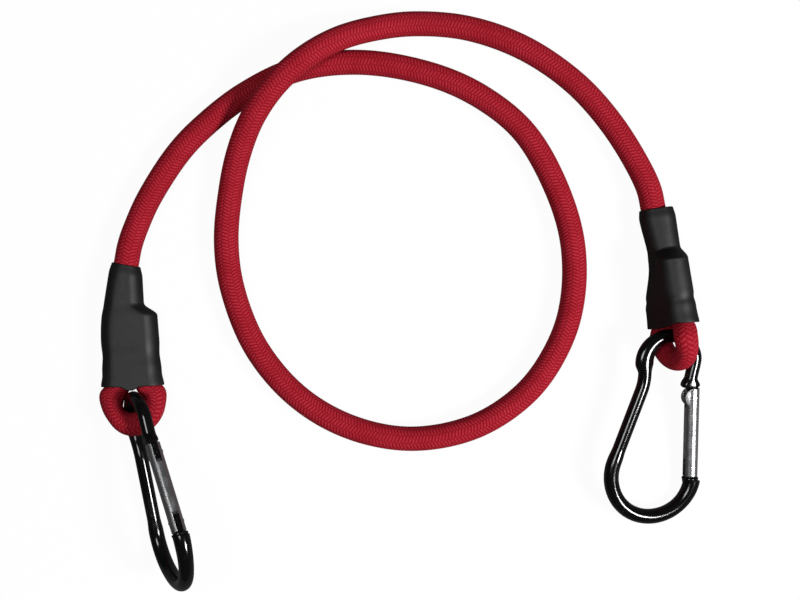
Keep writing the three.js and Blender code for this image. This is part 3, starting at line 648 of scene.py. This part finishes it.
# The sleeve's half thickness eases down at the flare, sinks by a squared half wave between the bands, is
# tucked in towards the mouth, and is drawn in by a quarter circle at each end
def sleeveHalf(height, flare, wall, place):
    length = place["sleeveLength"]
    half = sleeve["wideHalf"] + (sleeve["mouthHalf"] - sleeve["wideHalf"]) * flare
    low, high = place["bands"]
    between = np.clip((height - low - sleeve["waistMargin"]) / (high - low - 2 * sleeve["waistMargin"]), 0, 1)
    half = half - sleeve["waist"] * np.sin(np.pi * between) ** 2
    half = half - sleeve["mouthTuck"] * ease((height - length) / sleeve["tuckReach"] + 1)
    lipShare = np.clip(1 - np.minimum(height, length - height) / sleeve["lip"], 0, 1)
    lip = sleeve["lip"] * (1 - np.sqrt(1 - sleeve["lipFlat"] * lipShare**2))
    return half - lip if wall == 0 else half - wall + lip


# Sleeve rows: at each height a ring about both strands, whose points belong to one strand or the other
# by how far they face it. Past the flare the rows tilt to stay square to a main strand that leans. The foot
# flares out sideways, is cut aslant, hangs on the main strand's side and dips between the strands
def sleeveRows(place, wall):
    flareStart, length = place["flareStart"], place["sleeveLength"]
    flareEnd = flareStart + sleeve["flareLength"]
    early, margin = sleeve["flareEarly"], sleeve["flareMargin"]
    spread = np.linspace(0, np.pi, sleeve["rings"])
    close = np.linspace(flareStart - margin, flareEnd + margin, sleeve["flareRings"])
    height = np.sort(np.concatenate([length * (1 - np.cos(spread)) / 2, close]))
    flare = ease((height - flareStart + early) / (sleeve["flareLength"] + early))
    half = sleeveHalf(height, flare, wall, place)
    main, tail = mainAt(height, place), tailAt(height, place)
    along = tail - main
    along /= np.linalg.norm(along, axis=1, keepdims=True)
    far = tail + (np.array(place["mouth"]) + np.array(place["wideMouth"]) - tail) * flare[:, None]
    apart = far - main
    apart /= np.linalg.norm(apart, axis=1, keepdims=True) + 1e-6  # the two strands may meet at the mouth
    angle = 2 * np.pi * (np.arange(sleeve["sides"]) + 0.5) / sleeve["sides"]
    x = along[:, :1] * np.cos(angle) - along[:, 2:] * np.sin(angle)
    z = along[:, 2:] * np.cos(angle) + along[:, :1] * np.sin(angle)
    toward = x * apart[:, :1] + z * apart[:, 2:]
    share = np.clip(0.5 + toward / (2 * sleeve["flatShare"]), 0, 1)[..., None]
    foot = place["footFlare"] * ease(1 - height / sleeve["footRise"])
    reach = half[:, None] + foot[:, None] * np.abs(toward)
    grid = main[:, None] * (1 - share) + far[:, None] * share
    grid = grid + np.stack([x * reach, 0 * x, z * reach], axis=-1)
    slope = strand["spreadTop"] * place["mouthEase"] / (place["leadEnd"] - place["leadStart"])
    slope = slope * ease((height - flareEnd) / (length - flareEnd))
    grid[..., 1] = (place["eyeDrop"] + height)[:, None] - slope[:, None] * (grid[..., 0] - main[:, :1])
    roll = np.radians(place["roll"])
    beside = grid[..., 0] * np.cos(roll) - grid[..., 2] * np.sin(roll)
    hang = place["footHang"] * ease(-beside / sleeve["hangReach"])
    dip = place["footDip"] * ease((sleeve["dipHalf"] - np.abs(beside)) / sleeve["dipEdge"])
    slant = 1 - ease(height / place["footReach"])
    grid[..., 1] -= slant[:, None] * (place["footSlope"] * beside + hang + dip)
    return grid


# The wall is one closed surface, up the outside and down the inside
def makeSleeve(side, place):
    grid = np.concatenate([sleeveRows(place, 0), sleeveRows(place, sleeve["wall"])[::-1]])
    makePiece(f"{side}ShrunkSleeve", [(laid(grid, place), True)], sleeveRubber, "cord",
              [f"{side}_sleeve"], softCrease)


for side, place in fittings.items():
    makeEye(side, place)
    makeSleeve(side, place)
print("eyes and sleeves made")

# Carabiner in its own frame: ring centre at the origin, gate towards +X, sleeve towards +Y
hook = {
    "rod": 2.75, "ring": 11.0, "bigEnd": 17.9, "centres": 47.2, "lean": 21.0, "neck": 22.0,
    "sides": 40, "rings": 260, "ringPoints": 90, "neckPoints": 30, "bigPoints": 120,
    "swellReach": 0.5, "swellFall": 0.125,  # in half turns of the ring
    "collarWidth": 7.9, "collarHeight": 4.2, "collarEdge": 0.8, "collarFlat": 1.0, "collarSquare": 0.9,
    "collarDeep": 0.1, "collarOpen": 0.05, "leanLength": 13.0,
    "bendSwell": 0.35, "bendFrom": 66, "bendEase": 6, "tipBack": 22, "tipReach": 20,
    "noseSwell": 0.7, "noseLength": 14.0, "flange": 3.45, "flangeHeight": 2.4, "flangeRoot": 1.2,
    "flangeRim": 0.4, "flangeEase": 0.15, "flangeSteps": (0.4, 0.25), "rimNear": 0.3, "rootEase": 0.5,
}
bar = {
    "x": 9.9, "radius": 3.05, "top": -11.1, "end": -48.5, "edge": 0.3, "sides": 48, "overlap": 0.4,
    "pivotY": -15.0, "earRadius": 3.9, "earHalf": 2.5, "earEdge": 0.25, "earBack": 0.5, "earPoints": 30,
    "slotHalf": 1.3, "slotTop": -19.4, "latchTop": -40.5, "latchY": -44.3, "bore": 1.9, "boreEnd": -37.6,
    "collarFace": -10.75, "noseFace": -48.9,
    "rimRings": 5, "cheekRings": 26, "topPoints": 22, "flatPoints": 8,
}
tang = {"half": 1.0, "edge": 0.15, "root": 1.5, "pivotHalf": 2.4, "pivotReach": 2.5, "noseHalf": 2.5,
        "notch": 1.25, "lip": 1.9, "round": 0.9, "notchPoints": 16, "roundPoints": 8}
axisGap = 0.02  # a turned profile starts this far from its axis, and a small flat cap closes it
carabiners = {
    "left": {"centre": (-107.2, -12.1, 13.206), "turn": 19.8, "pitch": -14.2, "roll": 63, "crown": 0.6,
             "swell": 0.75, "swellOut": 0, "tip": 1.4},
    "right": {"centre": (111.1, 13.7, 12.25), "turn": 0.1, "pitch": 7.5, "roll": -12, "crown": 0,
              "swell": 1.1, "swellOut": 0.3, "tip": -0.3},
}


# Centreline of the rod: straight up from the collar, the small ring, the neck's reverse bend, a
# straight leaning spine, and the big end round to the nose, each an arc or line tangent to the next. The
# ring's crown rises, and the big end's tip moves out from its centre, each by an S-curve
def rodLine(place):
    ring, big, lean = hook["ring"], hook["bigEnd"], np.radians(hook["lean"])
    bigX = ring - big
    spine = (big * np.cos(lean) - bigX - ring - hook["neck"] * (1 - np.cos(lean))) / np.sin(lean)
    neckDrop = hook["centres"] - (big + hook["neck"]) * np.sin(lean) - spine * np.cos(lean)
    nose = np.degrees(np.arcsin((bar["noseFace"] - hook["flangeHeight"] / 2 + hook["centres"]) / big))
    flat = np.vstack([
        [[ring, bar["collarFace"]]],
        arc((0, 0), ring, 0, 180, hook["ringPoints"]),
        arc((-ring - hook["neck"], -neckDrop), hook["neck"], 0, -hook["lean"], hook["neckPoints"]),
        arc((bigX, -hook["centres"]), big, 180 - hook["lean"], 360 + nose, hook["bigPoints"]),
    ])
    line, length = evenly(np.column_stack([flat, np.zeros(len(flat))]), hook["rings"])
    run = np.linspace(0, length, hook["rings"])
    crest = -bar["collarFace"] + np.pi * ring / 2
    line[:, 1] += place["crown"] * ease(1 - np.abs(run - crest) / ring)
    outward = line[:, :2] - np.array([bigX, -hook["centres"]])
    outward /= np.linalg.norm(outward, axis=1, keepdims=True)
    tip = place["tip"] * ease(1 - np.abs(length - hook["tipBack"] - run) / hook["tipReach"])
    line[:, :2] += outward * tip[:, None]
    return line, run


# The rod swells by an S-curve at the ring's shoulder, more on the outside, and falls off faster below it.
# It is thicker round the big end and at the nose. Over the collar's height it squares up, widens to the
# collar and leans over to the gate, with its face edge eased as a quarter circle
def rodGrid(place):
    line, run = rodLine(place)
    halfTurn = np.pi * hook["ring"]
    shoulder = -bar["collarFace"] + halfTurn
    reach = np.where(run < shoulder, hook["swellReach"], hook["swellFall"]) * halfTurn
    bump = ease(1 - np.abs(run - shoulder) / reach)
    bend = ease((run - run[-1] + hook["bendFrom"]) / hook["bendEase"]) * hook["bendSwell"]
    nose = hook["noseSwell"] * ease(1 - (run[-1] - run) / hook["noseLength"])
    nose = nose + bend * (1 - nose / hook["noseSwell"])
    past = run - hook["collarFlat"]
    collar = 1 - ease(past / (hook["collarHeight"] - hook["collarFlat"]))
    side = (hook["rod"] + place["swell"] * bump + nose) * (1 - collar) + hook["collarWidth"] / 2 * collar
    deep = hook["rod"] + nose + hook["collarDeep"] * collar
    rim = np.clip(1 - run / hook["collarEdge"], 0, 1)
    inset = hook["collarEdge"] * (1 - np.sqrt(np.clip(1 - rim**2, hook["collarOpen"], 1)))
    lean = 1 - ease(past / hook["leanLength"])
    shift = (bar["x"] + bar["radius"] - hook["collarWidth"] / 2 - hook["ring"]) * lean
    outward = line / np.linalg.norm(line, axis=1, keepdims=True) * (place["swellOut"] * bump)[:, None]
    line = line + outward + np.stack([shift, 0 * shift, 0 * shift], axis=1)
    return ringsRound(line, side - inset, deep - inset, hook["sides"], 2 + hook["collarSquare"] * collar)


# Flange that ends the nose, turned about the gate's axis and eased at its rim
def flangeGrid():
    rod, wide, deep = hook["rod"] + hook["noseSwell"] / 2, hook["flange"], hook["flangeHeight"]
    root, rim, near = -deep - hook["flangeRoot"], hook["flangeRim"], hook["rimNear"]
    spread, upright = (-step * deep for step in hook["flangeSteps"])
    profile = [(axisGap, root), (rod - hook["rootEase"], root), (rod, -deep),
               (wide - hook["flangeEase"], spread), (wide, upright), (wide, -rim),
               (wide - near * rim, -near * rim), (wide - rim, 0), (axisGap, 0)]
    return turned(np.array(profile) + [0, bar["noseFace"]], hook["sides"], bar["x"])


# Tangs at the rod's two ends: a square one for the pivot, and a hook whose notch is a half circle
def tangGrids():
    x, face = bar["x"], bar["collarFace"] + tang["root"]
    foot = bar["pivotY"] - tang["pivotReach"]
    wide = tang["pivotHalf"]
    square = [(x - wide, face), (x - wide, foot), (x + wide, foot), (x + wide, face)]
    inside, outside = x - tang["noseHalf"], x + tang["noseHalf"]
    low, notch = bar["noseFace"] - hook["flangeHeight"] / 2, tang["notch"]
    top, curl = bar["latchY"] + notch + tang["lip"], tang["round"]
    catch = np.vstack([
        [(inside, low), (inside, bar["latchY"] - notch)],
        arc((x, bar["latchY"]), notch, -90, 90, tang["notchPoints"]),
        [(inside, bar["latchY"] + notch)],
        arc((inside + curl, top - curl), curl, 180, 90, tang["roundPoints"]),
        arc((outside - curl, top - curl), curl, 90, 0, tang["roundPoints"]),
        [(outside, low)],
    ])
    return [slab(outline, -tang["half"], tang["half"], tang["edge"]) for outline in (square, catch)]


# Cheek of the slotted bar: at each height the section runs over the bar's round top, where the depth is
# the root of the radius squared less x squared, and back along the flat of the slot. Both ends are eased
# as a quarter circle, and the heel's left edge is the circle about the pivot
def cheekGrid(low, high, heel, direction):
    x, radius, flat, edge = bar["x"], bar["radius"], bar["slotHalf"], bar["edge"]
    reach = np.sqrt(radius**2 - flat**2)
    ends = edge * (1 - np.cos(np.linspace(0, np.pi / 2, bar["rimRings"])))
    middle = np.linspace(low + edge, high - edge, bar["cheekRings"])[1:-1]
    height = np.concatenate([low + ends, middle, (high - ends)[::-1]])
    rim = np.clip(1 - np.minimum(height - low, high - height) / edge, 0, 1)
    inset = edge * (1 - np.sqrt(np.clip(1 - rim**2, 0, 1)))
    inner = np.full(len(height), -reach)
    if heel:
        circle = np.sqrt(np.clip(bar["earRadius"] ** 2 - (height - bar["pivotY"]) ** 2, 0, None))
        inner = np.where(height > bar["pivotY"], np.maximum(inner, -circle), inner)
    share = np.linspace(0, 1, bar["topPoints"])[None, :]
    across = (inner + inset)[:, None] * (1 - share) + (reach - inset)[:, None] * share
    top = np.sqrt(np.clip((radius - inset[:, None]) ** 2 - across**2, flat**2, None))
    back = np.linspace(1, 0, bar["flatPoints"])[None, 1:-1]
    under = (inner + inset)[:, None] * (1 - back) + (reach - inset)[:, None] * back
    wide = np.concatenate([across, under], axis=1)
    deep = np.concatenate([top, np.full_like(under, flat)], axis=1)
    return np.stack([x + wide, height[:, None] + 0 * wide, direction * deep], axis=-1)


# Gate: a turned bar bored for the spring, two cheeks each side of both slots, and an ear that is a half
# disc about the pivot
def gateGrids():
    radius, bore = bar["radius"], bar["bore"]
    profile = [(axisGap, bar["latchTop"]), (radius, bar["latchTop"]), (radius, bar["slotTop"]),
               (bore, bar["slotTop"]), (bore, bar["boreEnd"]), (axisGap, bar["boreEnd"])]
    grids = [turned(profile, bar["sides"], bar["x"])]
    back, pivot, ear = bar["x"] + bar["earBack"], bar["pivotY"], bar["earRadius"]
    disc = np.vstack([arc((bar["x"], pivot), ear, 90, 270, bar["earPoints"]),
                      [(back, pivot - ear), (back, pivot + ear)]])
    for direction in (1, -1):
        grids.append(cheekGrid(bar["slotTop"] - bar["overlap"], bar["top"], True, direction))
        grids.append(cheekGrid(bar["end"], bar["latchTop"] + bar["overlap"], False, direction))
        low, high = sorted((direction * bar["slotHalf"], direction * bar["earHalf"]))
        grids.append(slab(disc, low, high, bar["earEdge"]))
    return grids


# Gate spring: a wire that winds evenly down the bore from the plunger's head
coil = {"wire": 0.5, "winding": 1.5, "turns": 8, "top": -21.35, "end": -37.45, "steps": 24, "sides": 10,
        "travel": 1.1}


# Angle and height change evenly along the wire, and each ring is spanned by the direction out from the
# bore's axis and the one square to it and to the wire
def springGrid():
    angle = np.linspace(0, 2 * np.pi * coil["turns"], coil["turns"] * coil["steps"] + 1)[:, None]
    half = coil["wire"] / 2
    height = coil["top"] - half + (coil["end"] - coil["top"] + coil["wire"]) * angle / angle[-1]
    outward = np.hstack([np.cos(angle), 0 * angle, np.sin(angle)])
    line = outward * coil["winding"] + np.hstack([0 * angle + bar["x"], height, 0 * angle])
    square = np.cross(np.gradient(line, axis=0), outward)
    square /= np.linalg.norm(square, axis=1, keepdims=True)
    about = 2 * np.pi * np.arange(coil["sides"])[None, :, None] / coil["sides"]
    return line[:, None] + half * (np.cos(about) * outward[:, None] + np.sin(about) * square[:, None])


# The spring is made and given a mesh of its own; its foot at the bore's end and its top are found in place
def makeSpring(side, place):
    spring = makePiece(f"{side}GateSpring", [(laid(springGrid(), place), False)], bareSteel,
                       f"{side}_gate_bar", [f"{side}_gate_spring"], softCrease)
    ends = np.array([[bar["x"], coil["end"], 0], [bar["x"], coil["top"], 0]])
    foot, top = laid(ends, place) * millimetre
    top - foot
    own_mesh(spring)


for side, place in carabiners.items():
    rod = [rodGrid(place), flangeGrid(), *tangGrids()]
    makePiece(f"{side}BentRod", [(laid(grid, place), False) for grid in rod], blackAnodised,
              f"{side}_carabiner", [f"{side}_carabiner_body"], turnedCrease)
    makePiece(f"{side}TurnedGate", [(laid(grid, place), False) for grid in gateGrids()], satinAluminium,
              f"{side}_gate_bar", [f"{side}_gate"], turnedCrease)
    makeSpring(side, place)
print("carabiners made")

# Hidden and small pieces keep their own solids and get their finish
finishes = {"clamp_band": bareSteel, "plunger": bareSteel, "pin": rivetMetal}
for name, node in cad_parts.items():
    for ending, material in finishes.items():
        if name.endswith(ending):
            node.material_slots[0].material = material
print("small pieces finished")

# Plain white floor, soft lamps and a dim even surround
stage = {"half": 1.6, "drop": 0.0001, "white": (0.9, 0.9, 0.9, 1.0), "grey": (0.3, 0.3, 0.3, 1.0),
         "mirrored": (0.1, 0.1, 0.1, 1.0), "glow": (1.0, 1.0, 1.0, 1.0), "shown": 0.955}
lamps = {
    "key": {"place": (0.95, -0.28, 1.00), "size": 0.3, "power": 20.0},
    "top": {"place": (-0.38, 0.05, 1.25), "size": 0.4, "power": 4.8},
}
surround = {"colour": (1.0, 1.0, 1.0, 1.0), "strength": 0.1, "mirrored": 0.03}


# The floor shows the camera a white glow with a small share of white paper, which keeps the shadow. Light
# that bounces off it meets a mid grey, and reflections meet a darker one
def addFloor():
    half, low = stage["half"], -stage["drop"]
    mesh = bpy.data.meshes.new("floor")
    mesh.from_pydata([(-half, -half, low), (half, -half, low), (half, half, low), (-half, half, low)],
                     [], [(0, 1, 2, 3)])
    floor = bpy.data.objects.new("floor", mesh)
    bpy.context.scene.collection.objects.link(floor)
    paint = Paint(bpy.data.materials.new("floorWhite"))
    mesh.materials.append(paint.owner)
    ray = paint.node("ShaderNodeLightPath")
    seen = ray.output("Is Camera Ray")
    given = paint.mix(ray.output("Is Glossy Ray"), stage["grey"], stage["mirrored"])
    paper = paint.node("ShaderNodeBsdfDiffuse", {}, {"Color": paint.mix(seen, given, stage["white"])})
    glow = paint.node("ShaderNodeEmission", {}, {"Color": stage["glow"], "Strength": 1.0})
    shown = paint.node("ShaderNodeMixShader", {}, {0: seen * stage["shown"], 1: paper, 2: glow})
    paint.feed(paint.tree.nodes["Material Output"].inputs["Surface"], shown)


# Each lamp is a square panel that faces the middle of the layout
def addLamps():
    for name, lamp in lamps.items():
        panel = bpy.data.lights.new(name, "AREA")
        panel.size, panel.energy = lamp["size"], lamp["power"]
        holder = bpy.data.objects.new(name, panel)
        holder.location = lamp["place"]
        aim = Vector((*view["over"], 0.0)) - holder.location
        holder.rotation_euler = aim.to_track_quat("-Z", "Y").to_euler()
        bpy.context.scene.collection.objects.link(holder)


# The surround lights evenly and dimly, and reflections show it dimmer still, while the camera sees it as
# white past the floor's edge
def addSurround():
    world = bpy.data.worlds.new("surround")
    bpy.context.scene.world = world
    paint = Paint(world)
    ray = paint.node("ShaderNodeLightPath")
    seen, mirrored = ray.output("Is Camera Ray"), ray.output("Is Glossy Ray")
    back = paint.tree.nodes["Background"]
    paint.feed(back.inputs["Color"], surround["colour"])
    dimmed = mirrored * (surround["mirrored"] - surround["strength"]) + surround["strength"]
    paint.feed(back.inputs["Strength"], seen * (1 - surround["strength"]) + dimmed)


addFloor()
addLamps()
addSurround()
print("stage lit")
